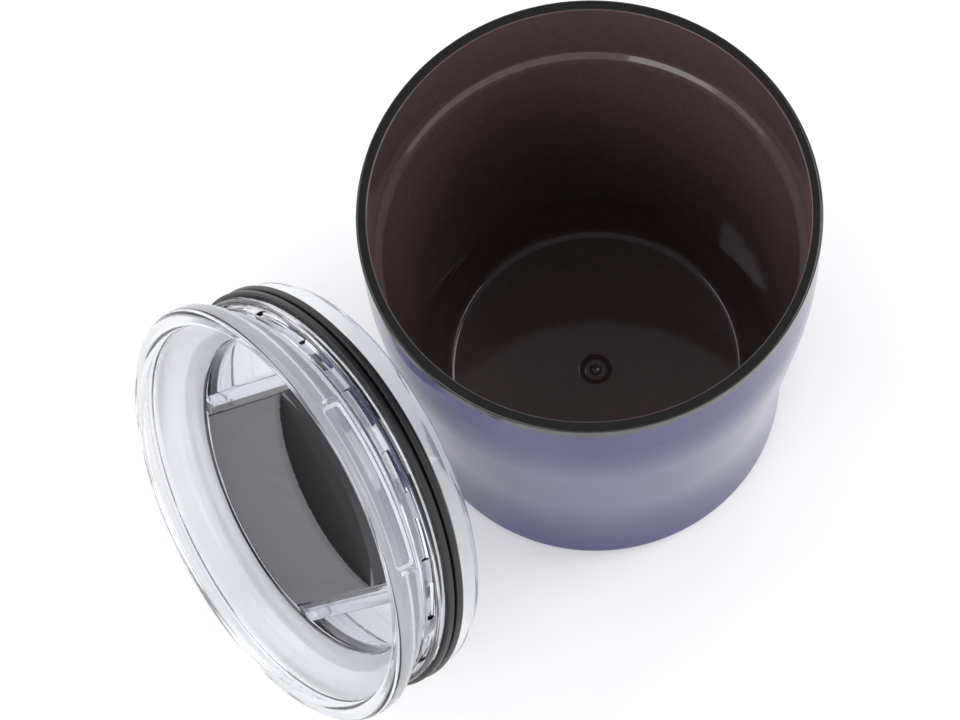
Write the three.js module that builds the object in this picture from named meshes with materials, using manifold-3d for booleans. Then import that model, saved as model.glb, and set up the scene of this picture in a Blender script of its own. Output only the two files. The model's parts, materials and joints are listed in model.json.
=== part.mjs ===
// A short insulated drinks tumbler with its clear press-in lid taken off and leaning on its side.
// Millimetres, +Z up. The cup stands on z = 0 with its axis on Z; the lid leans on the cup's -X side.
import * as THREE from "three";
import { mergeVertices } from "three/addons/utils/BufferGeometryUtils.js";
import Module from "manifold-3d";

const wasm = await Module();
wasm.setup();

const ROUND = 56; // facets round a large turned part
const ARC_STEP = 30; // degrees turned by each short edge of a blended corner
const CLEARANCE = 0.3; // gap left between neighbours that touch in the real object
const EDGE = { fine: 0.4, soft: 0.6, eased: 1, full: 2 }; // blends of moulded edges, smallest to largest
const OVERCUT = 1; // how far a cutting tool reaches past the face it opens
const DEG = Math.PI / 180;

const CUP = {
  height: 90,
  lipRadius: 44,
  lipThickness: 3,
  lipEdge: 0.6,
  boreRadius: 41.8,
  boreDraft: 0.3,
  shoulderDrop: 18.5, // below the mouth, where the lid's plug ends
  shoulderRadius: 39.9,
  shoulderFall: 1.6,
  linerWall: 1.8,
  linerSkirt: 0.8,
  linerFloor: 8,
  floorRadius: 29,
  floorCorner: 5,
  wallFootRadius: 33,
  wallFootHeight: 14.5,
  gateRadius: 3.2,
  gateFlatRadius: 2.4,
  gateDepth: 0.9,
  gateNubRadius: 0.9,
  gateNubHeight: 0.5,
};

const SHELL = {
  wall: 0.6,
  topRadius: 43.8,
  taperTop: { radius: 43.5, height: 68 },
  waist: { radius: 37, height: 20 },
  baseRadius: 36.8,
  baseCorner: 3,
  standHeight: 0.4,
  recessHeight: 2,
  kinkBlend: 60,
  waistBlend: 190,
};

const PAD = { radius: 30, thickness: 1.6 };

// Depths in the lid are measured down from the top of its rim.
const LID = {
  rimRadius: 43.7,
  rimDepth: 3.8,
  rimEdge: 1.6,
  dishMouthRadius: 39.6,
  dishMouthDepth: 2.5,
  dishMouthFlare: 0.6,
  dishMouthEdge: 1.3,
  wellRadius: 33.4,
  wellTop: 10.4,
  wellFloor: 13.7,
  floorThickness: 1.8,
  wall: 1.9,
  wallTurn: 11.9, // where the dish's outside turns down beside the well
  skirtRadius: 40.3,
  skirtDepth: 8,
  skirtInner: 36.8,
};

const TAB = { halfAngle: 24.5, depth: 5.8, radius: 44.1, edge: 0.7 };
const TAB_PANEL = { halfAngle: 22.3, top: 1.3, bottom: 4.7, sink: 0.35 };

const RING = {
  innerRadius: 37.4,
  bandRadius: 40.3,
  bandTop: 8.3,
  flangeTop: 10.9,
  flangeRadius: 41,
  grooveTop: 12.5,
  grooveBottom: 16.7,
  grooveRadius: 39.2,
  footRadius: 39.6,
  footDepth: 21.6,
  footTaperTop: 19.6,
};
const NOTCH = { count: 18, halfAngle: 6.2, top: 8.9, bottom: 10.4, sink: 0.8 };

const GASKET = { lipRadius: 41.9, lipTaper: 0.2, valleyRadius: 40.6, lipHeight: 1.5 };

const SLIDER = {
  width: 41,
  endRadius: 32.9,
  top: 10.4,
  thickness: 3,
  noseTip: 14.5, // 9 mm of travel brings it close to the well's wall
  noseRadius: 45,
  endGap: 0.4,
  tongueReach: 1.4,
  tongueThickness: 1,
};
// The scoop is part of a shallow bowl: a rolled edge, a slope and a floor, cut off by a ramp.
const SCOOP = {
  centre: 24.6,
  rollRadius: 29.8,
  slopeRadius: 27,
  slopeDepth: 0.55,
  floorRadius: 17.6,
  depth: 1.9,
  crease: 7,
  rampAngle: 7 * DEG,
};
const RAIL = { width: 3.6, lip: 1.7 };
const SIP = { length: 19, width: 8.6, centre: -25.3, corner: 3.5 };
const SEAL = { margin: 1.2, thickness: 1.2, proud: 0.15 };

// The lid stands on the plug's flange and leans over until the plug's foot meets the cup.
const LEAN = { tilt: 18.3 * DEG, gap: 0.5, sliderTurn: 64.7 * DEG };

// ---------- shape helpers ----------

// A corner list [radius, height, blend] as a smooth outline: each blended corner becomes a short arc.
function outline(corners, closed) {
  const points = [];
  corners.forEach(([r, z, blend], i) => {
    const here = new THREE.Vector2(r, z);
    const isEnd = !closed && (i === 0 || i === corners.length - 1);
    if (!blend || isEnd) {
      points.push(here);
      return;
    }
    const before = neighbour(corners, i - 1);
    const after = neighbour(corners, i + 1);
    points.push(...blendedCorner(before, here, after, blend));
  });
  if (closed) points.push(points[0].clone());
  return points;
}

function neighbour(corners, index) {
  const [r, z] = corners[(index + corners.length) % corners.length];
  return new THREE.Vector2(r, z);
}

function blendedCorner(before, corner, after, blend) {
  const inward = before.clone().sub(corner).normalize();
  const outward = after.clone().sub(corner).normalize();
  const halfAngle = Math.acos(THREE.MathUtils.clamp(inward.dot(outward), -1, 1)) / 2;
  const setback = blend / Math.tan(halfAngle);
  const middle = inward.clone().add(outward).normalize();
  const centre = corner.clone().addScaledVector(middle, blend / Math.sin(halfAngle));
  const start = corner.clone().addScaledVector(inward, setback).sub(centre);
  const sweepBack = Math.sign(start.cross(middle)) * (Math.PI - 2 * halfAngle);
  const steps = Math.max(1, Math.round(Math.abs(sweepBack) / (ARC_STEP * DEG)));
  return Array.from({ length: steps + 1 }, (_, i) =>
    start
      .clone()
      .rotateAround(new THREE.Vector2(), (-sweepBack * i) / steps)
      .add(centre)
  );
}

// A turned solid about Z from a corner list that starts and ends on the axis, or closes on itself.
function turned(corners, closed = false, facets = ROUND) {
  const geometry = new THREE.LatheGeometry(outline(corners, closed), facets);
  geometry.rotateX(Math.PI / 2);
  return asSolid(geometry);
}

function extruded(shape, bottom, top) {
  const geometry = new THREE.ExtrudeGeometry(shape, {
    depth: top - bottom,
    bevelEnabled: false,
    curveSegments: 10,
  });
  geometry.translate(0, 0, bottom);
  return asSolid(geometry);
}

function asSolid(geometry) {
  const bare = geometry.clone();
  bare.deleteAttribute("normal");
  bare.deleteAttribute("uv");
  const merged = mergeVertices(bare, 1e-4);
  const made = new wasm.Manifold(
    new wasm.Mesh({
      numProp: 3,
      vertProperties: merged.attributes.position.array,
      triVerts: new Uint32Array(merged.index.array),
    })
  );
  return made.volume() < 0 ? turnedRightSideOut(merged) : made;
}

function turnedRightSideOut(merged) {
  const triVerts = new Uint32Array(merged.index.array);
  for (let i = 0; i < triVerts.length; i += 3) {
    const kept = triVerts[i + 1];
    triVerts[i + 1] = triVerts[i + 2];
    triVerts[i + 2] = kept;
  }
  const vertProperties = merged.attributes.position.array;
  return new wasm.Manifold(new wasm.Mesh({ numProp: 3, vertProperties, triVerts }));
}

function meshOf(name, solid, look) {
  const { vertProperties, triVerts } = solid.getMesh();
  const geometry = new THREE.BufferGeometry();
  geometry.setAttribute("position", new THREE.BufferAttribute(vertProperties, 3));
  geometry.setIndex(new THREE.BufferAttribute(triVerts, 1));
  const flat = geometry.toNonIndexed();
  flat.computeVertexNormals();
  const mesh = new THREE.Mesh(flat, new THREE.MeshStandardMaterial(look));
  mesh.name = name;
  return mesh;
}

// A closed band about the axis between two radii and two heights.
function band(innerRadius, outerRadius, bottom, top) {
  const corners = [
    [innerRadius, bottom],
    [outerRadius, bottom],
    [outerRadius, top],
    [innerRadius, top],
  ];
  return turned(corners, true);
}

// A pie slice about the axis, centred on an angle, tall enough to cut any part of the lid.
function slice(centreAngle, halfAngle) {
  const reach = 2 * LID.rimRadius;
  const shape = new THREE.Shape();
  shape.moveTo(0, 0);
  for (const side of [-1, 1]) {
    const angle = centreAngle + side * halfAngle;
    shape.lineTo(reach * Math.cos(angle), reach * Math.sin(angle));
  }
  shape.closePath();
  return extruded(shape, -2 * RING.footDepth, RING.footDepth);
}

function roundedRectangle(centreX, lengthX, lengthY, corner) {
  const [x, y] = [centreX - lengthX / 2, -lengthY / 2];
  const shape = new THREE.Shape();
  shape.moveTo(x + corner, y);
  shape.lineTo(x + lengthX - corner, y);
  shape.absarc(x + lengthX - corner, y + corner, corner, -Math.PI / 2, 0);
  shape.lineTo(x + lengthX, y + lengthY - corner);
  shape.absarc(x + lengthX - corner, y + lengthY - corner, corner, 0, Math.PI / 2);
  shape.lineTo(x + corner, y + lengthY);
  shape.absarc(x + corner, y + lengthY - corner, corner, Math.PI / 2, Math.PI);
  shape.lineTo(x, y + corner);
  shape.absarc(x + corner, y + corner, corner, Math.PI, 1.5 * Math.PI);
  return shape;
}

// ---------- the cup ----------

function outerShell() {
  const { wall, topRadius, taperTop, waist, baseRadius, baseCorner } = SHELL;
  const { standHeight, recessHeight } = SHELL;
  const top = CUP.height - CUP.lipThickness - CLEARANCE;
  const recessRadius = PAD.radius + CLEARANCE;
  const inside = recessHeight + wall;
  return turned([
    [0, recessHeight],
    [recessRadius, recessHeight],
    [recessRadius, standHeight, EDGE.fine],
    [baseRadius, standHeight, baseCorner],
    [waist.radius, waist.height, SHELL.waistBlend],
    [taperTop.radius, taperTop.height, SHELL.kinkBlend],
    [topRadius, top],
    [topRadius - wall, top],
    [taperTop.radius - wall, taperTop.height, SHELL.kinkBlend],
    [waist.radius - wall, waist.height, SHELL.waistBlend],
    [baseRadius - wall, inside, baseCorner - wall],
    [0, inside],
  ]);
}

function liner() {
  const top = CUP.height;
  const lipUnder = top - CUP.lipThickness;
  const shoulder = top - CUP.shoulderDrop;
  const wallTop = shoulder - CUP.shoulderFall;
  const floor = CUP.linerFloor;
  const floorUnder = floor - CUP.linerWall;
  const skirtRadius = CUP.boreRadius + CUP.linerSkirt;
  return turned([
    [0, floor - CUP.gateDepth + CUP.gateNubHeight],
    [CUP.gateNubRadius, floor - CUP.gateDepth + CUP.gateNubHeight],
    [CUP.gateNubRadius, floor - CUP.gateDepth],
    [CUP.gateFlatRadius, floor - CUP.gateDepth],
    [CUP.gateRadius, floor, EDGE.fine],
    [CUP.floorRadius, floor, CUP.floorCorner],
    [CUP.wallFootRadius, CUP.wallFootHeight, CUP.floorCorner],
    [CUP.shoulderRadius, wallTop, EDGE.full],
    [CUP.boreRadius - CUP.boreDraft, shoulder, EDGE.eased],
    [CUP.boreRadius, top, CUP.lipEdge / 2],
    [CUP.lipRadius, top, CUP.lipEdge],
    [CUP.lipRadius, lipUnder],
    [skirtRadius, lipUnder],
    [skirtRadius, shoulder, EDGE.eased],
    [CUP.shoulderRadius + CUP.linerWall, wallTop, EDGE.full],
    [CUP.wallFootRadius + CUP.linerWall, CUP.wallFootHeight, CUP.floorCorner],
    [CUP.floorRadius + 1, floorUnder, CUP.floorCorner],
    [0, floorUnder],
  ]);
}

function basePad() {
  return turned([
    [0, 0],
    [PAD.radius, 0, EDGE.fine],
    [PAD.radius, PAD.thickness],
    [0, PAD.thickness],
  ]);
}

// ---------- the lid, upright: its axis on Z, the top of its rim at z = 0 ----------

function lidBowl() {
  const floorUnder = LID.wellFloor + LID.floorThickness;
  const underDish = LID.wellRadius + LID.wall;
  const body = turned([
    [0, -LID.wellFloor],
    [LID.wellRadius, -LID.wellFloor],
    [LID.wellRadius, -LID.wellTop, EDGE.soft],
    [LID.dishMouthRadius, -LID.dishMouthDepth, EDGE.eased],
    [LID.dishMouthRadius + LID.dishMouthFlare, 0, LID.dishMouthEdge],
    [LID.rimRadius, 0, LID.rimEdge],
    [LID.rimRadius, -LID.rimDepth, EDGE.soft],
    [LID.skirtRadius, -LID.rimDepth],
    [LID.skirtRadius, -LID.skirtDepth],
    [LID.skirtInner, -LID.skirtDepth],
    [underDish, -LID.wallTurn, EDGE.full],
    [underDish, -floorUnder, EDGE.eased],
    [0, -floorUnder],
  ]);
  return body.add(liftingTab()).subtract(tabPanelSink()).subtract(sipOpening());
}

// The rim's thumb tab: a wider, deeper stretch of the rim for prying the lid off.
function liftingTab() {
  const root = LID.skirtRadius - TAB.edge; // inside the skirt, so that the two join
  const whole = turned(
    [
      [root, -TAB.depth],
      [TAB.radius, -TAB.depth, TAB.edge],
      [TAB.radius, -LID.rimEdge, TAB.edge],
      [root, -LID.rimEdge],
    ],
    true
  );
  return whole.intersect(slice(0, TAB.halfAngle * DEG));
}

function tabPanelSink() {
  const { halfAngle, top, bottom, sink } = TAB_PANEL;
  const ring = band(TAB.radius - sink, TAB.radius + OVERCUT, -bottom, -top);
  return ring.intersect(slice(0, halfAngle * DEG));
}

function sipOpening() {
  const { centre, width, length, corner } = SIP;
  const plan = roundedRectangle(centre, width, length, corner);
  return extruded(plan, -LID.wellFloor - LID.floorThickness - OVERCUT, -LID.wellFloor + OVERCUT);
}

function plugRing() {
  const body = turned(
    [
      [RING.innerRadius, -RING.bandTop],
      [RING.innerRadius, -RING.footDepth, EDGE.soft],
      [RING.footRadius, -RING.footDepth, EDGE.soft],
      [RING.flangeRadius, -RING.footTaperTop, EDGE.soft],
      [RING.flangeRadius, -RING.grooveBottom],
      [RING.grooveRadius, -RING.grooveBottom],
      [RING.grooveRadius, -RING.grooveTop],
      [RING.flangeRadius, -RING.grooveTop],
      [RING.flangeRadius, -RING.flangeTop, EDGE.fine],
      [RING.bandRadius, -RING.flangeTop],
      [RING.bandRadius, -RING.bandTop],
    ],
    true
  );
  return body.subtract(snapNotches());
}

// The row of shallow windows round the ring's upper band, where it snaps onto the bowl's skirt.
function snapNotches() {
  const { count, halfAngle, top, bottom, sink } = NOTCH;
  const groove = band(RING.bandRadius - sink, RING.bandRadius + OVERCUT, -bottom, -top);
  const pitch = (2 * Math.PI) / count;
  const slices = Array.from({ length: count }, (_, i) => slice(i * pitch, halfAngle * DEG));
  return groove.intersect(wasm.Manifold.union(slices));
}

function gasket() {
  const top = -RING.grooveTop - CLEARANCE;
  const bottom = -RING.grooveBottom + CLEARANCE;
  const inner = RING.grooveRadius + CLEARANCE;
  const { lipRadius, lipTaper, valleyRadius, lipHeight } = GASKET;
  return turned(
    [
      [inner, bottom],
      [lipRadius, bottom, EDGE.fine],
      [lipRadius - lipTaper, bottom + lipHeight, EDGE.fine],
      [valleyRadius, bottom + lipHeight],
      [valleyRadius, top - lipHeight],
      [lipRadius - lipTaper, top - lipHeight, EDGE.fine],
      [lipRadius, top, EDGE.fine],
      [inner, top],
    ],
    true
  );
}

// The plan outline of a strip along X: its - end follows a circle about the axis, its + end a flatter arc.
function stripWithRoundEnds(halfWidth, endRadius) {
  const { noseTip, noseRadius } = SLIDER;
  const half = Math.asin(halfWidth / endRadius);
  const noseHalf = Math.asin(halfWidth / noseRadius);
  const shape = new THREE.Shape();
  shape.absarc(noseTip - noseRadius, 0, noseRadius, -noseHalf, noseHalf);
  shape.absarc(0, 0, endRadius, Math.PI - half, Math.PI + half);
  return shape;
}

function sliderPanel() {
  const { width, endRadius, top, thickness, tongueReach, tongueThickness } = SLIDER;
  const bottom = -top - thickness;
  const innerRadius = endRadius - SLIDER.endGap;
  const upper = extruded(stripWithRoundEnds(width / 2, innerRadius), bottom, -top);
  const tonguePlan = stripWithRoundEnds(width / 2 + tongueReach, innerRadius);
  const tongues = extruded(tonguePlan, bottom, bottom + tongueThickness);
  return upper.add(tongues).subtract(thumbScoop()).subtract(sealPocket());
}

// The thumb scoop: a shallow bowl under the + half of the panel, whose floor turns up at a straight crease.
function thumbScoop() {
  const { centre, rollRadius, slopeRadius, slopeDepth, floorRadius, depth } = SCOOP;
  const top = -SLIDER.top;
  const bowl = turned([
    [0, top - depth],
    [floorRadius, top - depth, EDGE.full],
    [slopeRadius, top - slopeDepth, EDGE.full],
    [rollRadius, top],
    [rollRadius, top + OVERCUT],
    [0, top + OVERCUT],
  ]).translate([centre, 0, 0]);
  return bowl.intersect(aboveRamp());
}

// Everything above the scoop's floor and the ramp it turns up into, as a prism along Y.
function aboveRamp() {
  const { crease, depth, rampAngle } = SCOOP;
  const floor = -SLIDER.top - depth;
  const reach = 2 * LID.wellRadius;
  const section = new THREE.Shape();
  section.moveTo(-reach, floor);
  section.lineTo(crease, floor);
  section.lineTo(crease + reach, floor + reach * Math.tan(rampAngle));
  section.lineTo(crease + reach, reach);
  section.lineTo(-reach, reach);
  section.closePath();
  const prism = new THREE.ExtrudeGeometry(section, { depth: 2 * reach, bevelEnabled: false });
  return asSolid(prism.translate(0, 0, -reach).rotateX(Math.PI / 2));
}

function sealShape(margin) {
  const { centre, width, length, corner } = SIP;
  return roundedRectangle(centre, width + 2 * margin, length + 2 * margin, corner + margin / 2);
}

function sealPocket() {
  const bottom = -SLIDER.top - SLIDER.thickness;
  const roof = bottom + SEAL.thickness + CLEARANCE;
  return extruded(sealShape(SEAL.margin + CLEARANCE), bottom - OVERCUT, roof);
}

function sliderSeal() {
  const bottom = -SLIDER.top - SLIDER.thickness;
  return extruded(sealShape(SEAL.margin), bottom - SEAL.proud, bottom + SEAL.thickness);
}

function guideRail(side) {
  const inner = SLIDER.width / 2 + CLEARANCE;
  const outer = inner + RAIL.width;
  const well = turned([
    [0, -LID.wellFloor + CLEARANCE],
    [LID.wellRadius - CLEARANCE, -LID.wellFloor + CLEARANCE],
    [LID.wellRadius - CLEARANCE, -SLIDER.top],
    [0, -SLIDER.top],
  ]);
  const bar = sideBar(side, inner, outer, -LID.wellFloor, -SLIDER.top);
  const tongueTop = -SLIDER.top - SLIDER.thickness + SLIDER.tongueThickness + CLEARANCE;
  const tongueRoom = [inner - OVERCUT, inner + RAIL.lip, -LID.wellFloor - OVERCUT, tongueTop];
  const undercut = sideBar(side, ...tongueRoom);
  return well.intersect(bar).subtract(undercut);
}

function sideBar(side, inner, outer, bottom, top) {
  const reach = LID.wellRadius + OVERCUT;
  const [low, high] = side > 0 ? [inner, outer] : [-outer, -inner];
  const shape = new THREE.Shape();
  shape.moveTo(-reach, low);
  shape.lineTo(reach, low);
  shape.lineTo(reach, high);
  shape.lineTo(-reach, high);
  shape.closePath();
  return extruded(shape, bottom, top);
}

// ---------- the assembly ----------

const CLEAR_PLASTIC = { color: 0xe4e7f0, roughness: 0.08, metalness: 0, transparent: true, opacity: 0.4 };
const PURPLE_METAL = { color: 0x6d6aa0, roughness: 0.32, metalness: 0.7 };
const DARK_PLASTIC = { color: 0x241c1c, roughness: 0.18, metalness: 0 };
const BLACK_RUBBER = { color: 0x191819, roughness: 0.5, metalness: 0 };
const GREY_PLASTIC = { color: 0x6b6a6f, roughness: 0.35, metalness: 0 };

function cup() {
  const group = new THREE.Group();
  group.add(
    meshOf("outer_shell", outerShell(), PURPLE_METAL),
    meshOf("liner", liner(), DARK_PLASTIC),
    meshOf("base_pad", basePad(), BLACK_RUBBER)
  );
  return group;
}

function lid() {
  const group = new THREE.Group();
  group.add(
    meshOf("lid_bowl", lidBowl(), CLEAR_PLASTIC),
    meshOf("plug_ring", plugRing(), CLEAR_PLASTIC),
    meshOf("gasket", gasket(), BLACK_RUBBER),
    meshOf("slider_panel", sliderPanel(), GREY_PLASTIC),
    meshOf("slider_seal", sliderSeal(), BLACK_RUBBER),
    meshOf("rail_left", guideRail(1), CLEAR_PLASTIC),
    meshOf("rail_right", guideRail(-1), CLEAR_PLASTIC)
  );
  return group;
}

// Turns the upright lid on its edge and leans it on the cup.
function leanOnCup(group) {
  const { tilt, gap, sliderTurn } = LEAN;
  const out = new THREE.Vector3(-Math.cos(tilt), 0, Math.sin(tilt));
  const up = new THREE.Vector3(Math.sin(tilt), 0, Math.cos(tilt));
  const sideways = new THREE.Vector3(0, -1, 0);
  const slide = sideways
    .clone()
    .multiplyScalar(Math.cos(sliderTurn))
    .addScaledVector(up, Math.sin(sliderTurn));
  const across = out.clone().cross(slide);
  const height = RING.flangeRadius * Math.cos(tilt) + RING.footTaperTop * Math.sin(tilt);
  const reach = RING.footRadius * Math.sin(tilt) + RING.footDepth * Math.cos(tilt);
  group.matrix.makeBasis(slide, across, out);
  group.matrix.setPosition(-CUP.lipRadius - gap - reach, 0, height);
  group.matrixAutoUpdate = false;
  return group;
}

const tumbler = new THREE.Group();
tumbler.add(cup(), leanOnCup(lid()));
export default tumbler;
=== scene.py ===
"""The looks of a short insulated tumbler and its clear press-in lid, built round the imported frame.

Shapes are worked out in millimetres, each on its own axis, and scaled to the row frame's metres
when the mesh is made. The cup's axis is the frame's Z. The lid is drawn upright, its rim's top at
z = 0, with X along the slider's travel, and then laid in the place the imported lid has.
"""

import json
import math

import bmesh
import bpy
from mathutils import Matrix, Vector


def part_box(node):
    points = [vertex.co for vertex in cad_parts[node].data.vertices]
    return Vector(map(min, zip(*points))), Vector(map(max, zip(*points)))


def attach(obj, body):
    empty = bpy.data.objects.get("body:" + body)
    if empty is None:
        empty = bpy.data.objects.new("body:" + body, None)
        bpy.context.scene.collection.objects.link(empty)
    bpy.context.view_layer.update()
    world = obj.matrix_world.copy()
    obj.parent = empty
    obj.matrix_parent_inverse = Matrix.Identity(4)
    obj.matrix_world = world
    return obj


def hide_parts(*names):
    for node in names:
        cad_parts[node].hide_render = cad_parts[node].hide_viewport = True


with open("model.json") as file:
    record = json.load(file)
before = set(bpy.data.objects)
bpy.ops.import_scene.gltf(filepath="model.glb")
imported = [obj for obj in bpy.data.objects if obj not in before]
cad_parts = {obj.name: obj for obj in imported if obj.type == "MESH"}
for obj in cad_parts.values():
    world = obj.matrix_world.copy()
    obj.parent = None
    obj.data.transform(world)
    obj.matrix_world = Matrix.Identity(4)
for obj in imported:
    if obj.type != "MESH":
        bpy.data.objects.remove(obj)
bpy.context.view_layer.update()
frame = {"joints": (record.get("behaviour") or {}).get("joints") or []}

MM = 0.001
ROUND = 240  # columns round a turned piece
ARC_STEP = math.radians(9)  # turned by each short edge of a rounded corner
SUPPORT = 0.12  # mm from a corner to the edge that keeps the flat beside it flat
SHARP = math.radians(28)
GAP = 0.3  # left between neighbours that touch in the real object

# The cup. Heights are measured up from the table.
CUP_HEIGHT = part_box("liner")[1].z / MM
LIP_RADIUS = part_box("liner")[1].x / MM
LIP_THICKNESS = 3
BORE_RADIUS = 41.8
SHOULDER_Z = CUP_HEIGHT - 18.5
SHOULDER_FALL = 1.6
SHOULDER_RADIUS = 39.9
LINER_WALL = 1.8
LINER_SKIRT = 0.8
LINER_FLOOR = 8
FLOOR_RADIUS = 29.5
WALL_FOOT_RADIUS = 33
WALL_FOOT_Z = 14.5
GATE_RADIUS = 3.2
GATE_DEPTH = 0.9

SHELL_WALL = 0.6
SHELL_FOOT_Z = 0.4
SHELL_RECESS_Z = 2
FOOT_RADIUS = 36.8
WAIST_RADIUS = 37
WAIST_Z = 20
TAPER_TOP_RADIUS = 43.5
TAPER_TOP_Z = 68
SHELL_TOP_RADIUS = 43.8
PAD_RADIUS = 30
PAD_THICKNESS = 1.6

# The dish of the lid. Depths are measured down from the top of its rim.
RIM_RADIUS = 43.7
RIM_DEPTH = 3.8
RIM_EDGE = 1.6
SKIRT_RADIUS = 40.3
SKIRT_DEPTH = 8
SKIRT_INNER = 36.8
DISH_RADIUS = 39.6
DISH_MOUTH = 2.5
WELL_RADIUS = 33.4
WELL_TOP = 10.4
WELL_FLOOR = 13.7
WALL = 1.9
FLOOR_THICKNESS = 1.8

# The thumb tab on the rim's outer wall, and the panel sunk into its face.
TAB_HALF = math.radians(24.5)
TAB_DEPTH = 5.8
TAB_PROUD = 0.4
TAB_EDGE = math.radians(0.5)
PANEL_HALF = math.radians(22.3)
PANEL_TOP = 1.3
PANEL_BOTTOM = 4.7
PANEL_SINK = 0.6
PANEL_BEVEL = 0.6
PANEL_CORNER = 0.8

# The plug ring, its snap windows and the seal in its groove.
RING_RADIUS = 40.3
RING_TOP = 8.3
FLANGE_RADIUS = 41
FLANGE_TOP = 10.9
GROOVE_TOP = 12.5
GROOVE_BOTTOM = 16.7
GROOVE_RADIUS = 39.2
PLUG_DEPTH = 21.6
PLUG_TAPER = 19.6
PLUG_BORE = 37.4
PLUG_FOOT_RADIUS = 39.6
WINDOWS = 18
WINDOW_HALF = math.radians(6.2)
WINDOW_TOP = 8.9
WINDOW_BOTTOM = 10.4
WINDOW_SINK = 0.8
WINDOW_CORNER = 0.3
WINDOW_BEVEL = 0.25

SEAL_RADIUS = 41.9
SEAL_VALLEY = 40.5
SEAL_LIP_HEIGHT = 1.55

# The drinking opening, and the soft stopper under the slider that covers it.
SIP_CENTRE = -25.3
SIP_LENGTH = 19
SIP_WIDTH = 8.6
SIP_CORNER = 3.5
STOPPER_MARGIN = 1.2
STOPPER_THICKNESS = 1.2
STOPPER_PROUD = 0.15

# The slider, its thumb scoop and its rails. X runs from the tail to the nose.
SLIDER_WIDTH = 41
SLIDER_END = 32.5
SLIDER_THICKNESS = 3
NOSE_TIP = 14.5
NOSE_RADIUS = 45
ROLL_TIP, ROLL_RADIUS = -5.2, 23.8
SLOPE_TIP, SLOPE_RADIUS = -2.4, 27
ROLL_DEPTH = 0.55
SCOOP_DEPTH = 1.9
SCOOP_CREASE = 7
SCOOP_RAMP = math.radians(7)
RAIL_WIDTH = 3.6
RAIL_LIP = 1.7
TONGUE_REACH = 1.4
TONGUE_DEPTH = 1


# ---------- outlines ----------


def rounded_corner(before, corner, after, radius):
    """Points of the arc that rounds one corner of an outline."""
    back, on = (before - corner).normalized(), (after - corner).normalized()
    half = back.angle(on) / 2
    centre = corner + (back + on).normalized() * radius / math.sin(half)
    start = corner + back * radius / math.tan(half) - centre
    end = corner + on * radius / math.tan(half) - centre
    sweep = start.angle_signed(end)
    steps = max(4, round(abs(sweep) / ARC_STEP))
    return [centre + Matrix.Rotation(-sweep * i / steps, 2) @ start for i in range(steps + 1)]


def outline(corners, closed=False):
    """(radius, height, rounding) corners as points, with support points beside each bend."""
    count = len(corners)
    runs = []
    for i, corner in enumerate(corners):
        here = Vector(corner[:2])
        is_end = not closed and i in (0, count - 1)
        if len(corner) < 3 or is_end:
            runs.append([here])
            continue
        before, after = Vector(corners[i - 1][:2]), Vector(corners[(i + 1) % count][:2])
        runs.append(rounded_corner(before, here, after, corner[2]))
    points = []
    for i, run in enumerate(runs):
        points += run
        if i + 1 < count or closed:
            points += supports(run[-1], runs[(i + 1) % count][0])
    return points


def supports(start, end):
    """Two points just inside a straight stretch, where it is long enough to need them."""
    length = (end - start).length
    if length < 4 * SUPPORT:
        return []
    step = (end - start) * SUPPORT / length
    return [start + step, end - step]


# ---------- meshes ----------


def face_outward(bm):
    """Turns every face of a closed mesh to point out of the solid."""
    bmesh.ops.recalc_face_normals(bm, faces=bm.faces)
    if bm.calc_volume(signed=True) < 0:
        bmesh.ops.reverse_faces(bm, faces=bm.faces)


def finished(name, bm, placement, is_second=None):
    """The bmesh as a closed, smooth-shaded object, moved from millimetres into the row frame.

    is_second(centre, normal) says which faces take the piece's second material.
    """
    bmesh.ops.remove_doubles(bm, verts=bm.verts, dist=1e-4)
    face_outward(bm)
    for face in bm.faces:
        face.smooth = abs(face.normal.z) < 0.99999  # level faces stay flat
        if is_second and is_second(face.calc_center_median(), face.normal):
            face.material_index = 1
    mesh = bpy.data.meshes.new(name)
    bm.to_mesh(mesh)
    bm.free()
    mesh.set_sharp_from_angle(angle=SHARP)
    mesh.transform(placement @ Matrix.Scale(MM, 4))
    piece = bpy.data.objects.new(name, mesh)
    bpy.context.scene.collection.objects.link(piece)
    return piece


def turned(points, closed=False, angles=None, moved=None):
    """A solid of revolution. moved(angle, point) may shift a point of the outline at one angle."""
    angles = angles or [2 * math.pi * i / ROUND for i in range(ROUND)]
    bm = bmesh.new()
    columns = []
    for angle in angles:
        column = []
        for point in points:
            r, z = moved(angle, point) if moved else point
            column.append(bm.verts.new((r * math.cos(angle), r * math.sin(angle), z)))
        columns.append(column)
    spans = range(len(points) - (0 if closed else 1))
    for i, column in enumerate(columns):
        following = columns[(i + 1) % len(columns)]
        for k in spans:
            j = (k + 1) % len(points)
            bm.faces.new((column[k], following[k], following[j], column[j]))
    bmesh.ops.remove_doubles(bm, verts=bm.verts, dist=1e-5)
    return bm


def angles_with(dense):
    """Angles round a piece, packed closer through each (centre, half width, count) stretch."""
    angles = {round(2 * math.pi * i / ROUND, 6) for i in range(ROUND)}
    for centre, half, count in dense:
        for i in range(count + 1):
            angle = centre - half + 2 * half * i / count
            angles.add(round(angle % (2 * math.pi), 6))
    return sorted(angles)


def prism(points, bottom, top, bevel=0.0):
    """A plan outline raised between two heights, its top and bottom edges rounded."""
    bm = bmesh.new()
    low = [bm.verts.new((x, y, bottom)) for x, y in points]
    high = [bm.verts.new((x, y, top)) for x, y in points]
    bm.faces.new(low[::-1])
    bm.faces.new(high)
    for i in range(len(points)):
        j = (i + 1) % len(points)
        bm.faces.new((low[i], low[j], high[j], high[i]))
    if bevel:
        edges = [e for e in bm.edges if abs(e.verts[0].co.z - e.verts[1].co.z) < 1e-6]
        bmesh.ops.bevel(bm, geom=edges, offset=bevel, segments=3, profile=0.5, affect="EDGES")
    return bm


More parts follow.
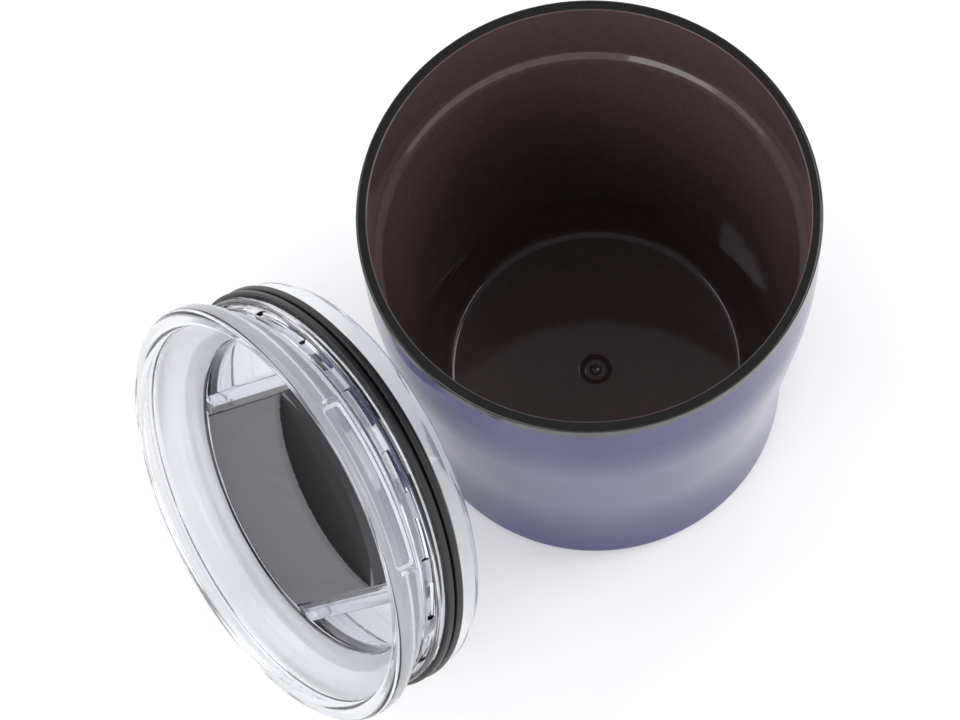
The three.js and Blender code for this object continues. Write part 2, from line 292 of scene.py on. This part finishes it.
def combined(bm, tools, operation):
    """bm cut by or joined with the tools, all of them closed meshes in millimetres."""
    objects = []
    for part in [bm, *tools]:
        face_outward(part)
        mesh = bpy.data.meshes.new("working")
        part.to_mesh(mesh)
        part.free()
        piece = bpy.data.objects.new("working", mesh)
        bpy.context.scene.collection.objects.link(piece)
        objects.append(piece)
    body = objects[0]
    for tool in objects[1:]:
        step = body.modifiers.new("step", "BOOLEAN")
        step.operation = operation
        step.solver = "MANIFOLD"
        step.object = tool
    evaluated = body.evaluated_get(bpy.context.evaluated_depsgraph_get())
    result = bmesh.new()
    result.from_mesh(evaluated.to_mesh())
    for piece in objects:
        bpy.data.objects.remove(piece)
    return result


def arc(radius, start, end, steps):
    """Points on a circle about the axis from one angle to another."""
    angles = [start + (end - start) * i / steps for i in range(steps + 1)]
    return [(radius * math.cos(a), radius * math.sin(a)) for a in angles]


def smooth_step(value):
    """0 below 0, 1 above 1 and an S curve between."""
    value = min(1.0, max(0.0, value))
    return value * value * (3 - 2 * value)


def rounded_box(u, v, half_u, half_v, corner):
    """How far a point is outside a rounded rectangle: negative inside it."""
    x, y = abs(u) - half_u + corner, abs(v) - half_v + corner
    return math.hypot(max(x, 0), max(y, 0)) + min(max(x, y), 0) - corner


# ---------- the cup ----------


def shell_mesh():
    """A drawn sleeve that narrows to a waist, closed at the bottom over a recess for the pad."""
    top = CUP_HEIGHT - LIP_THICKNESS - GAP
    return turned(
        outline(
            [
                (0, SHELL_RECESS_Z),
                (PAD_RADIUS + GAP, SHELL_RECESS_Z),
                (PAD_RADIUS + GAP, SHELL_FOOT_Z, 0.3),
                (FOOT_RADIUS, SHELL_FOOT_Z, 3),
                (WAIST_RADIUS, WAIST_Z, 190),
                (TAPER_TOP_RADIUS, TAPER_TOP_Z, 140),
                (SHELL_TOP_RADIUS, top),
                (SHELL_TOP_RADIUS - SHELL_WALL, top),
                (TAPER_TOP_RADIUS - SHELL_WALL, TAPER_TOP_Z, 60),
                (WAIST_RADIUS - SHELL_WALL, WAIST_Z, 190),
                (FOOT_RADIUS - SHELL_WALL, SHELL_RECESS_Z + SHELL_WALL, 2.4),
                (0, SHELL_RECESS_Z + SHELL_WALL),
            ]
        )
    )


def liner_mesh():
    """The inner cup: gate dimple, floor, wall, shoulder, bore and a lip that covers the shell."""
    lip_under = CUP_HEIGHT - LIP_THICKNESS
    gate_floor = LINER_FLOOR - GATE_DEPTH
    shoulder_foot = SHOULDER_Z - SHOULDER_FALL
    return turned(
        outline(
            [
                (0, gate_floor + 0.55),
                (0.75, gate_floor + 0.5, 0.25),
                (1.2, gate_floor, 0.25),
                (2.2, gate_floor, 0.5),
                (GATE_RADIUS, LINER_FLOOR, 0.45),
                (FLOOR_RADIUS, LINER_FLOOR, 2.2),
                (WALL_FOOT_RADIUS, WALL_FOOT_Z, 12),
                (SHOULDER_RADIUS, shoulder_foot, 2),
                (BORE_RADIUS - 0.3, SHOULDER_Z, 1),
                (BORE_RADIUS, CUP_HEIGHT, 0.35),
                (LIP_RADIUS, CUP_HEIGHT, 0.5),
                (LIP_RADIUS, lip_under, 0.4),
                (BORE_RADIUS + LINER_SKIRT, lip_under),
                (BORE_RADIUS + LINER_SKIRT, SHOULDER_Z, 1),
                (SHOULDER_RADIUS + LINER_WALL, shoulder_foot, 2),
                (WALL_FOOT_RADIUS + LINER_WALL, WALL_FOOT_Z, 5),
                (FLOOR_RADIUS + 0.5, LINER_FLOOR - LINER_WALL, 5),
                (0, LINER_FLOOR - LINER_WALL),
            ]
        )
    )


def pad_mesh():
    """The flat foot in the shell's recess."""
    corners = [(0, 0), (PAD_RADIUS, 0, 0.4), (PAD_RADIUS, PAD_THICKNESS, 0.2), (0, PAD_THICKNESS)]
    return turned(outline(corners))


# ---------- the lid, upright ----------


def outside_panel(turn, z):
    """How far a point of the tab is outside its sunk panel: negative on the panel."""
    middle, half = (PANEL_TOP + PANEL_BOTTOM) / 2, (PANEL_BOTTOM - PANEL_TOP) / 2
    return rounded_box(turn * RIM_RADIUS, z + middle, PANEL_HALF * RIM_RADIUS, half, PANEL_CORNER)


def bowl_point(angle, point):
    """The rim's outer wall swells and deepens into the thumb tab, whose face is sunk."""
    r, z = point
    turn = math.atan2(math.sin(angle), math.cos(angle))
    on_underside = abs(z + RIM_DEPTH) < 1e-5 and r > SKIRT_RADIUS - 1e-5
    on_rim = r >= RIM_RADIUS - RIM_EDGE - 0.1 and z >= -RIM_DEPTH - 1e-5
    if not on_underside and not on_rim:
        return r, z
    share = smooth_step((TAB_HALF - abs(turn)) / TAB_EDGE + 0.5)
    down = min(1, max(0, (-z - RIM_EDGE) / (RIM_DEPTH - RIM_EDGE)))
    deeper = z - (TAB_DEPTH - RIM_DEPTH) * share * down
    if r < SKIRT_RADIUS + 0.01:
        return r, deeper
    sink = PANEL_SINK * smooth_step(0.5 - outside_panel(turn, deeper) / PANEL_BEVEL)
    proud = TAB_PROUD * share * smooth_step(down * 4 + 0.2)
    return r + proud - sink * share, deeper


def bowl_mesh():
    """The clear dish, with extra rows down the rim's outer wall to carry the thumb tab."""
    height = RIM_DEPTH - RIM_EDGE
    wall = [(RIM_RADIUS, -RIM_EDGE - height * i / 16) for i in range(1, 12)]
    profile = outline(
        [
            (0, -WELL_FLOOR),
            (WELL_RADIUS, -WELL_FLOOR, 0.5),
            (WELL_RADIUS, -WELL_TOP, 0.9),
            (DISH_RADIUS, -DISH_MOUTH, 1),
            (DISH_RADIUS + 0.6, 0, 1.3),
            (RIM_RADIUS, 0, RIM_EDGE),
            *wall,
            (RIM_RADIUS, -RIM_DEPTH, 0.8),
            (SKIRT_RADIUS, -RIM_DEPTH),
            (SKIRT_RADIUS, -SKIRT_DEPTH, 0.3),
            (SKIRT_INNER, -SKIRT_DEPTH, 0.3),
            (WELL_RADIUS + WALL, -WELL_TOP - 1.5, 2),
            (WELL_RADIUS + WALL, -WELL_FLOOR - FLOOR_THICKNESS, 1),
            (0, -WELL_FLOOR - FLOOR_THICKNESS),
        ]
    )
    edge = math.radians(1.2)
    stretches = [
        (0, TAB_HALF, 160),
        (TAB_HALF, edge, 12),
        (-TAB_HALF, edge, 12),
        (PANEL_HALF, edge, 12),
        (-PANEL_HALF, edge, 12),
    ]
    body = turned(profile, angles=angles_with(stretches), moved=bowl_point)
    hole = prism(sip_plan(0), -WELL_FLOOR - 5, -WELL_FLOOR + 1)
    return combined(body, [hole], "DIFFERENCE")


def sip_plan(margin):
    """The sip opening's rounded rectangle, grown by a margin all round."""
    length, width = SIP_LENGTH / 2 + margin, SIP_WIDTH / 2 + margin
    corner = SIP_CORNER + margin / 2
    steps = 6
    points = []
    for quarter in range(4):
        turn = quarter * math.pi / 2
        sx = 1 if quarter in (0, 3) else -1
        sy = 1 if quarter in (0, 1) else -1
        middle = Vector((SIP_CENTRE + sx * (width - corner), sy * (length - corner)))
        for i in range(steps + 1):
            angle = turn + math.pi / 2 * i / steps
            points.append(middle + corner * Vector((math.cos(angle), math.sin(angle))))
    return points


def ring_point(angle, point):
    """Sinks the row of small windows into the ring's upper band."""
    r, z = point
    if r < RING_RADIUS - 1e-5 or not -FLANGE_TOP <= z <= -RING_TOP:
        return r, z
    pitch = 2 * math.pi / WINDOWS
    turn = (angle + pitch / 2) % pitch - pitch / 2
    middle, half = -(WINDOW_TOP + WINDOW_BOTTOM) / 2, (WINDOW_BOTTOM - WINDOW_TOP) / 2
    outside = rounded_box(
        turn * RING_RADIUS, z - middle, WINDOW_HALF * RING_RADIUS, half, WINDOW_CORNER
    )
    return r - WINDOW_SINK * smooth_step(0.5 - outside / WINDOW_BEVEL), z


def ring_mesh():
    """The plug below the dish, with extra rows up its band to carry the windows."""
    rows = 18
    band_height = FLANGE_TOP - RING_TOP - 0.2
    band = [(RING_RADIUS, -FLANGE_TOP + band_height * i / rows) for i in range(1, rows)]
    profile = outline(
        [
            (PLUG_BORE, -RING_TOP, 0.2),
            (PLUG_BORE, -PLUG_DEPTH, 0.6),
            (PLUG_FOOT_RADIUS, -PLUG_DEPTH, 0.6),
            (FLANGE_RADIUS, -PLUG_TAPER, 0.8),
            (FLANGE_RADIUS, -GROOVE_BOTTOM, 0.2),
            (GROOVE_RADIUS, -GROOVE_BOTTOM),
            (GROOVE_RADIUS, -GROOVE_TOP),
            (FLANGE_RADIUS, -GROOVE_TOP, 0.2),
            (FLANGE_RADIUS, -FLANGE_TOP, 0.5),
            (RING_RADIUS, -FLANGE_TOP, 0.05),
            *band,
            (RING_RADIUS, -RING_TOP, 0.2),
        ],
        closed=True,
    )
    pitch = 2 * math.pi / WINDOWS
    half = math.radians(0.35)
    sides = [i * pitch + side * WINDOW_HALF for i in range(WINDOWS) for side in (-1, 1)]
    angles = angles_with([(side, half, 6) for side in sides])
    return turned(profile, closed=True, angles=angles, moved=ring_point)


def gasket_mesh():
    """A band with two rounded lips that taper slightly towards the valley between them."""
    top, bottom = -GROOVE_TOP - GAP, -GROOVE_BOTTOM + GAP
    low, high = bottom + SEAL_LIP_HEIGHT, top - SEAL_LIP_HEIGHT
    taper = 0.15
    profile = [
        (GROOVE_RADIUS + GAP, bottom),
        (SEAL_RADIUS, bottom, 0.45),
        (SEAL_RADIUS - taper, low, 0.5),
        (SEAL_VALLEY, low, 0.25),
        (SEAL_VALLEY, high, 0.25),
        (SEAL_RADIUS - taper, high, 0.5),
        (SEAL_RADIUS, top, 0.45),
        (GROOVE_RADIUS + GAP, top),
    ]
    return turned(outline(profile, closed=True), closed=True)


def slider_plan(half_width):
    """The slider from above: a flat arc at its nose and the well's own curve at its tail."""
    half, nose_half = math.asin(half_width / SLIDER_END), math.asin(half_width / NOSE_RADIUS)
    nose = arc(NOSE_RADIUS, -nose_half, nose_half, 24)
    tail = arc(SLIDER_END, math.pi - half, math.pi + half, 48)
    return [(x + NOSE_TIP - NOSE_RADIUS, y) for x, y in nose] + tail


def slider_mesh():
    """The panel with a tongue along each side, a thumb scoop and a pocket for its stopper."""
    bottom = -WELL_TOP - SLIDER_THICKNESS
    half = SLIDER_WIDTH / 2
    panel = prism(slider_plan(half), bottom, -WELL_TOP, 0.25)
    tongue = prism(slider_plan(half + TONGUE_REACH), bottom, bottom + TONGUE_DEPTH)
    whole = combined(panel, [tongue], "UNION")
    pocket = prism(sip_plan(STOPPER_MARGIN + GAP), bottom - 1, bottom + STOPPER_THICKNESS + GAP)
    return combined(whole, [scoop_tool(), pocket], "DIFFERENCE")


def edge_x(y, tip, radius):
    """The x at this y of an arc that bulges towards lower x, with its tip at y = 0."""
    return tip + radius - math.sqrt(radius * radius - y * y)


def scoop_depth(x, y):
    """How deep the thumb scoop is at a point of the panel: negative beyond its rolled edge.

    A rolled edge comes first, then a slope that eases off towards a straight crease, then a ramp.
    """
    roll, slope = edge_x(y, ROLL_TIP, ROLL_RADIUS), edge_x(y, SLOPE_TIP, SLOPE_RADIUS)
    if x < roll:
        return (x - roll) * 0.1 - 0.01
    if x < slope:
        share = (x - roll) / (slope - roll)
        return ROLL_DEPTH * share * share
    across = 1 - (y / (SLIDER_WIDTH / 2)) ** 2
    share = 1
    if slope < SCOOP_CREASE:
        share = (min(x, SCOOP_CREASE) - slope) / (SCOOP_CREASE - slope)
    fall = (SCOOP_DEPTH - ROLL_DEPTH) * across * (1 - (1 - share) ** 2.5)
    return ROLL_DEPTH + fall - max(0, x - SCOOP_CREASE) * math.tan(SCOOP_RAMP)


def scoop_tool():
    """What the thumb scoop takes away: its curved floor, closed off above the panel."""
    columns, rows = 100, 160
    low_x, high_x, half_y = ROLL_TIP - 1, NOSE_TIP + 1, SLIDER_WIDTH / 2 + 1
    bm = bmesh.new()
    grid = []
    for i in range(columns + 1):
        x = low_x + (high_x - low_x) * i / columns
        ys = [half_y * (2 * j / rows - 1) for j in range(rows + 1)]
        grid.append([bm.verts.new((x, y, -WELL_TOP - scoop_depth(x, y))) for y in ys])
    for near, far in zip(grid, grid[1:]):
        for j in range(rows):
            bm.faces.new((near[j], far[j], far[j + 1], near[j + 1]))
    rim = [line[0] for line in grid[:-1]] + grid[-1][:-1]
    rim += [line[-1] for line in grid[:0:-1]] + grid[0][:0:-1]
    top = [bm.verts.new((v.co.x, v.co.y, -WELL_TOP + 4)) for v in rim]
    for i in range(len(rim)):
        j = (i + 1) % len(rim)
        bm.faces.new((rim[i], rim[j], top[j], top[i]))
    bm.faces.new(top)
    return bm


def in_scoop_shade(centre, normal):
    """True for the faces of the scoop that take its painted shade: its slope and ramp, past the
    rolled edge.
    """
    sunk = -WELL_TOP - centre.z
    return sunk > ROLL_DEPTH * 0.9 and normal.z > 0.5


def on_satin(centre, normal):
    """True on the satin parts: the dish's sloping wall and the edges of the tab's frame."""
    r, turn = math.hypot(centre.x, centre.y), math.atan2(centre.y, centre.x)
    inward = centre.x * normal.x + centre.y * normal.y < 0
    if inward:
        return WELL_RADIUS + 0.3 < r < DISH_RADIUS - 0.1 and centre.z > -WELL_TOP
    if r < RIM_RADIUS - 0.8 or abs(turn) > TAB_HALF:
        return False
    on_bevel = abs(outside_panel(turn, centre.z)) < PANEL_BEVEL / 2
    return on_bevel or centre.z < -TAB_DEPTH + 0.5


def stopper_mesh():
    """The soft pad under the slider that covers the drinking opening."""
    bottom = -WELL_TOP - SLIDER_THICKNESS
    low, high = bottom - STOPPER_PROUD, bottom + STOPPER_THICKNESS
    return prism(sip_plan(STOPPER_MARGIN), low, high, 0.12)


def rail_mesh(side):
    """A bar along one side of the slider, undercut so that the slider's tongue runs below it."""
    inner = SLIDER_WIDTH / 2 + GAP
    outer = inner + RAIL_WIDTH
    radius = WELL_RADIUS - GAP
    a, b = math.asin(inner / radius), math.asin(outer / radius)
    plan = [*arc(radius, a, b, 6), *arc(radius, math.pi - b, math.pi - a, 6)]
    plan = [(x, side * y) for x, y in plan]
    bar = prism(plan, -WELL_FLOOR + GAP, -WELL_TOP, 0.2)
    near, far = side * (inner - 1), side * (inner + RAIL_LIP)
    reach = WELL_RADIUS + 5
    lip = [(-reach, near), (reach, near), (reach, far), (-reach, far)]
    roof = -WELL_TOP - SLIDER_THICKNESS + TONGUE_DEPTH + GAP
    groove = prism(lip, -WELL_FLOOR - 1, roof)
    return combined(bar, [groove], "DIFFERENCE")


# ---------- materials ----------


def new_material(name):
    """The material, its node tree and the tree's main shader."""
    material = bpy.data.materials.new(name)
    material.use_nodes = True
    tree = material.node_tree
    return material, tree, tree.nodes["Principled BSDF"]


def node(tree, kind, **inputs):
    """A new node with its named inputs set: an underscore stands for a space."""
    made = tree.nodes.new(kind)
    for key, value in inputs.items():
        made.inputs[key.replace("_", " ")].default_value = value
    return made


def noise(tree, scale, detail):
    """Noise through the piece's own space. scale is in cycles a metre."""
    place = tree.nodes.new("ShaderNodeTexCoord")
    texture = node(tree, "ShaderNodeTexNoise", Scale=scale, Detail=detail)
    tree.links.new(place.outputs["Object"], texture.inputs["Vector"])
    return texture


def spread(tree, source, low, high):
    """The source's 0.3 to 0.7 stretched to run from low to high."""
    made = node(tree, "ShaderNodeMapRange", From_Min=0.3, From_Max=0.7, To_Min=low, To_Max=high)
    tree.links.new(source, made.inputs["Value"])
    return made.outputs["Result"]


def two_tone(tree, source, first, second):
    """A colour that runs from the first to the second as the source goes from 0.3 to 0.7."""
    ramp = tree.nodes.new("ShaderNodeValToRGB")
    ramp.color_ramp.elements[0].position = 0.3
    ramp.color_ramp.elements[1].position = 0.7
    ramp.color_ramp.elements[0].color = (*first, 1)
    ramp.color_ramp.elements[1].color = (*second, 1)
    tree.links.new(source, ramp.inputs["Fac"])
    return ramp.outputs["Color"]


def bump(tree, shader, height, strength, distance):
    """Makes the shader's surface rise and fall with a texture. distance is in metres."""
    made = node(tree, "ShaderNodeBump", Strength=strength, Distance=distance)
    tree.links.new(height, made.inputs["Height"])
    tree.links.new(made.outputs["Normal"], shader.inputs["Normal"])


def clear_plastic(name, tint, smoothest, roughest, clearness=1.0):
    """Clear moulded plastic. tint is what one wall lets through; less clearness is milkier."""
    material, tree, shader = new_material(name)
    shader.inputs["Base Color"].default_value = (*tint, 1)
    shader.inputs["Transmission Weight"].default_value = clearness
    shader.inputs["IOR"].default_value = 1.5
    flow = noise(tree, 90, 3)
    tree.links.new(
        spread(tree, flow.outputs["Fac"], smoothest, roughest), shader.inputs["Roughness"]
    )
    bump(tree, shader, flow.outputs["Fac"], 0.08, 0.0004)
    path = tree.nodes.new("ShaderNodeLightPath")
    open_way = tree.nodes.new("ShaderNodeBsdfTransparent")
    open_way.inputs["Color"].default_value = (0.82, 0.83, 0.85, 1)  # the shadow stays pale
    mix = tree.nodes.new("ShaderNodeMixShader")
    tree.links.new(path.outputs["Is Shadow Ray"], mix.inputs[0])
    tree.links.new(shader.outputs[0], mix.inputs[1])
    tree.links.new(open_way.outputs[0], mix.inputs[2])
    output = tree.nodes["Material Output"]
    tree.links.new(mix.outputs[0], output.inputs["Surface"])
    return material


def purple_metal():
    """Deep violet paint under a lacquer, whose reflections make a wall seen edge-on look pale."""
    material, tree, shader = new_material("purple_metal")
    flake = noise(tree, 9000, 1)
    cloud = noise(tree, 60, 2)
    colour = two_tone(tree, flake.outputs["Fac"], (0.020, 0.017, 0.112), (0.030, 0.026, 0.140))
    tree.links.new(colour, shader.inputs["Base Color"])
    shader.inputs["Specular IOR Level"].default_value = 0
    tree.links.new(spread(tree, cloud.outputs["Fac"], 0.3, 0.36), shader.inputs["Roughness"])
    shader.inputs["Coat Weight"].default_value = 1
    shader.inputs["Coat IOR"].default_value = 1.31
    shader.inputs["Coat Roughness"].default_value = 0.13
    bump(tree, shader, flake.outputs["Fac"], 0.05, 0.00005)
    return material


def dark_plastic():
    """Glossy plum-black plastic. Inside the bore it is painted a much brighter plum-brown, painted
    light that makes up for the shade deep in the cup; the lip beyond the bore, standing in full
    light, is a plain black.
    """
    material, tree, shader = new_material("dark_plastic")
    mottle = noise(tree, 700, 3)
    peel = noise(tree, 260, 2)
    # Inside the bore: a plum-brown lifted well above the plastic's own dark tone, painted light that
    # makes up for the shade deep in the cup.
    shade_lifted_inside = two_tone(tree, mottle.outputs["Fac"], (0.094, 0.060, 0.062), (0.112, 0.072, 0.074))
    place = tree.nodes.new("ShaderNodeTexCoord")
    flat = node(tree, "ShaderNodeVectorMath")
    flat.operation = "MULTIPLY"
    flat.inputs[1].default_value = (1, 1, 0)
    tree.links.new(place.outputs["Object"], flat.inputs[0])
    reach = node(tree, "ShaderNodeVectorMath")
    reach.operation = "LENGTH"
    tree.links.new(flat.outputs["Vector"], reach.inputs[0])
    outward = node(
        tree,
        "ShaderNodeMapRange",
        From_Min=(BORE_RADIUS + 0.1) * MM,
        From_Max=(BORE_RADIUS + 0.3) * MM,
    )
    tree.links.new(reach.outputs["Value"], outward.inputs["Value"])
    mix = tree.nodes.new("ShaderNodeMix")
    mix.data_type = "RGBA"
    first, second = (i for i in mix.inputs if i.type == "RGBA")
    blended = next(o for o in mix.outputs if o.type == "RGBA")
    tree.links.new(outward.outputs["Result"], mix.inputs["Factor"])
    tree.links.new(shade_lifted_inside, first)
    # The lip keeps the plain near-black, without the inside's painted lift, since it stands in full
    # light.
    second.default_value = (0.009, 0.0085, 0.009, 1)
    tree.links.new(blended, shader.inputs["Base Color"])
    tree.links.new(spread(tree, mottle.outputs["Fac"], 0.05, 0.08), shader.inputs["Roughness"])
    bump(tree, shader, peel.outputs["Fac"], 0.03, 0.0003)
    return material


def black_rubber():
    """Matt seal rubber with a fine grain."""
    material, tree, shader = new_material("black_rubber")
    grain = noise(tree, 3500, 4)
    colour = two_tone(tree, grain.outputs["Fac"], (0.011, 0.0105, 0.011), (0.019, 0.018, 0.019))
    tree.links.new(colour, shader.inputs["Base Color"])
    tree.links.new(spread(tree, grain.outputs["Fac"], 0.36, 0.5), shader.inputs["Roughness"])
    bump(tree, shader, grain.outputs["Fac"], 0.12, 0.00005)
    return material


def grey_plastic():
    """The slider's panel, finely grained."""
    material, tree, shader = new_material("grey_plastic")
    grain = noise(tree, 5200, 3)
    colour = two_tone(tree, grain.outputs["Fac"], (0.066, 0.064, 0.073), (0.088, 0.086, 0.098))
    tree.links.new(colour, shader.inputs["Base Color"])
    tree.links.new(spread(tree, grain.outputs["Fac"], 0.3, 0.42), shader.inputs["Roughness"])
    bump(tree, shader, grain.outputs["Fac"], 0.1, 0.00004)
    return material


def scoop_shade_plastic():
    """The slider's scoop: the same plastic painted near-black and with its reflection turned down, a
    painted shade for the recess.
    """
    material, tree, shader = new_material("scoop_shade_plastic")
    grain = noise(tree, 5200, 3)
    # Near-black, far darker than the panel's grey: painted shade in the scoop.
    colour = two_tone(tree, grain.outputs["Fac"], (0.006, 0.0055, 0.006), (0.009, 0.0085, 0.0095))
    tree.links.new(colour, shader.inputs["Base Color"])
    tree.links.new(spread(tree, grain.outputs["Fac"], 0.4, 0.5), shader.inputs["Roughness"])
    # Reflection turned down so that the scoop stays dark: part of the painted shade.
    shader.inputs["Specular IOR Level"].default_value = 0.08
    bump(tree, shader, grain.outputs["Fac"], 0.1, 0.00004)
    return material


# ---------- assembly ----------


def lid_placement():
    """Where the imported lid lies. Its X is the slider's axis; the gasket's box gives its centre."""
    joint = next(j for j in frame["joints"] if j["name"] == "slider_slide")
    slide = Vector(joint["axis"]).normalized()
    out = slide.cross(Vector((0, 1, 0))).normalized()
    across = out.cross(slide)
    low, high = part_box("gasket")
    centre = (low + high) / 2 + out * (GROOVE_TOP + GROOVE_BOTTOM) / 2 * MM
    turn = Matrix((slide, across, out)).transposed().to_4x4()
    return Matrix.Translation(centre) @ turn


def put(name, bm, placement, materials, body, node_name, is_second=None):
    """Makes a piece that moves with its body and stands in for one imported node."""
    piece = finished(name, bm, placement, is_second)
    for material in materials:
        piece.data.materials.append(material)
    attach(piece, body)
    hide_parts(node_name)


def build():
    upright, leaning = Matrix.Identity(4), lid_placement()
    clear = [
        clear_plastic("clear_plastic", (0.855, 0.865, 0.905), 0.015, 0.05),
        clear_plastic("satin_clear_plastic", (0.87, 0.88, 0.92), 0.5, 0.6, 0.6),
    ]
    purple, dark, rubber = [purple_metal()], [dark_plastic()], [black_rubber()]
    # The second material is the scoop's painted shade.
    grey = [grey_plastic(), scoop_shade_plastic()]
    put("cup_shell", shell_mesh(), upright, purple, "cup", "outer_shell")
    put("cup_liner", liner_mesh(), upright, dark, "cup", "liner")
    put("cup_foot", pad_mesh(), upright, rubber, "cup", "base_pad")
    put("lid_dish", bowl_mesh(), leaning, clear, "lid", "lid_bowl", on_satin)
    put("lid_plug", ring_mesh(), leaning, clear[:1], "lid", "plug_ring")
    put("lid_seal", gasket_mesh(), leaning, rubber, "lid", "gasket")
    for side, name in ((1, "left"), (-1, "right")):
        rail = rail_mesh(side)
        put(f"lid_rail_{name}", rail, leaning, clear[:1], "lid", f"rail_{name}")
    put("slider", slider_mesh(), leaning, grey, "slider", "slider_panel", in_scoop_shade)
    put("slider_pad", stopper_mesh(), leaning, rubber, "slider", "slider_seal")


# ---------- studio ----------

CAMERA_AZIMUTH = math.radians(-32.957)
CAMERA_ELEVATION = math.radians(67.665)
CAMERA_DISTANCE = 1.2
CAMERA_LENS = 239.2
CAMERA_ROLL = math.radians(-2.370)
CAMERA_PAN = math.radians(1.0351)  # turns the camera so that the cup sits right of the middle
CAMERA_TILT = math.radians(-1.2779)
FLOOR_GLOW = 0.28


def seen_from(azimuth, elevation):
    """The direction from the object to something at this azimuth and elevation."""
    flat = math.cos(elevation)
    return Vector((math.sin(azimuth) * flat, -math.cos(azimuth) * flat, math.sin(elevation)))


def add_camera():
    """A long lens looking down at the mouth, turned a little so that the cup sits off centre."""
    lens = bpy.data.cameras.new("camera")
    lens.lens = CAMERA_LENS
    lens.sensor_width = 36
    lens.clip_start, lens.clip_end = 0.01, 20
    camera = bpy.data.objects.new("camera", lens)
    bpy.context.scene.collection.objects.link(camera)
    back = seen_from(CAMERA_AZIMUTH, CAMERA_ELEVATION)
    right = Vector((math.cos(CAMERA_AZIMUTH), math.sin(CAMERA_AZIMUTH), 0))
    up = back.cross(right)
    aim = Vector((math.tan(CAMERA_PAN), math.tan(CAMERA_TILT), 1)).normalized()
    forward = (-back * aim.z - right * aim.x + up * aim.y).normalized()
    side = (right - forward * right.dot(forward)).normalized()
    top = side.cross(forward)
    turn = math.cos(CAMERA_ROLL), math.sin(CAMERA_ROLL)
    x, y = side * turn[0] + top * turn[1], top * turn[0] - side * turn[1]
    mouth = Vector((0, 0, CUP_HEIGHT * MM))
    stand = Matrix.Translation(mouth + back * CAMERA_DISTANCE)
    camera.matrix_world = stand @ Matrix((x, y, -forward)).transposed().to_4x4()
    bpy.context.scene.camera = camera


def softbox(name, azimuth, elevation, distance, width, height, radiance):
    """A flat light aimed at the object. Azimuth counts from the camera's own, to its right."""
    light = bpy.data.lights.new(name, "AREA")
    light.shape = "RECTANGLE"
    light.size, light.size_y = width, height
    light.energy = math.pi * width * height * radiance
    lamp = bpy.data.objects.new(name, light)
    bpy.context.scene.collection.objects.link(lamp)
    back = seen_from(CAMERA_AZIMUTH + math.radians(azimuth), math.radians(elevation))
    lamp.location = back * distance + Vector((0, 0, 0.05))
    lamp.rotation_mode = "QUATERNION"
    lamp.rotation_quaternion = back.to_track_quat("Z", "Y")


def add_floor():
    """A plain white sheet, lit a little from within so that it stays white to the horizon."""
    bm = bmesh.new()
    bmesh.ops.create_grid(bm, x_segments=24, y_segments=24, size=3)
    mesh = bpy.data.meshes.new("floor")
    bm.to_mesh(mesh)
    bm.free()
    floor = bpy.data.objects.new("floor", mesh)
    bpy.context.scene.collection.objects.link(floor)
    material, tree, shader = new_material("floor")
    paper = noise(tree, 900, 2)
    colour = two_tone(tree, paper.outputs["Fac"], (0.86, 0.858, 0.855), (0.88, 0.879, 0.877))
    tree.links.new(colour, shader.inputs["Base Color"])
    shader.inputs["Roughness"].default_value = 0.8
    shader.inputs["Specular IOR Level"].default_value = 0.2
    shader.inputs["Emission Color"].default_value = (1, 1, 1, 1)
    shader.inputs["Emission Strength"].default_value = FLOOR_GLOW
    floor.data.materials.append(material)


def add_sky():
    """A room that is bright round its sides and dim overhead."""
    world = bpy.data.worlds.new("sky")
    bpy.context.scene.world = world
    world.use_nodes = True
    tree = world.node_tree
    place = tree.nodes.new("ShaderNodeTexCoord")
    split = tree.nodes.new("ShaderNodeSeparateXYZ")
    tree.links.new(place.outputs["Generated"], split.inputs[0])
    fade = node(tree, "ShaderNodeMapRange", From_Min=0, From_Max=0.8, To_Min=1.6, To_Max=0.3)
    tree.links.new(split.outputs["Z"], fade.inputs["Value"])
    tree.links.new(fade.outputs["Result"], tree.nodes["Background"].inputs["Strength"])
    tree.nodes["Background"].inputs["Color"].default_value = (1, 1, 1, 1)


def add_studio():
    add_camera()
    add_floor()
    add_sky()
    softbox("left", -38, 33, 1.2, 0.8, 0.5, 3)
    softbox("right", 100, 42, 1.2, 0.6, 0.6, 4)
    softbox("top", 149, 63, 1.2, 0.25, 0.25, 4)
    softbox("back_left", -112, 46, 1.3, 0.8, 0.8, 2)
    bpy.context.scene.view_settings.view_transform = "Standard"


build()
add_studio()
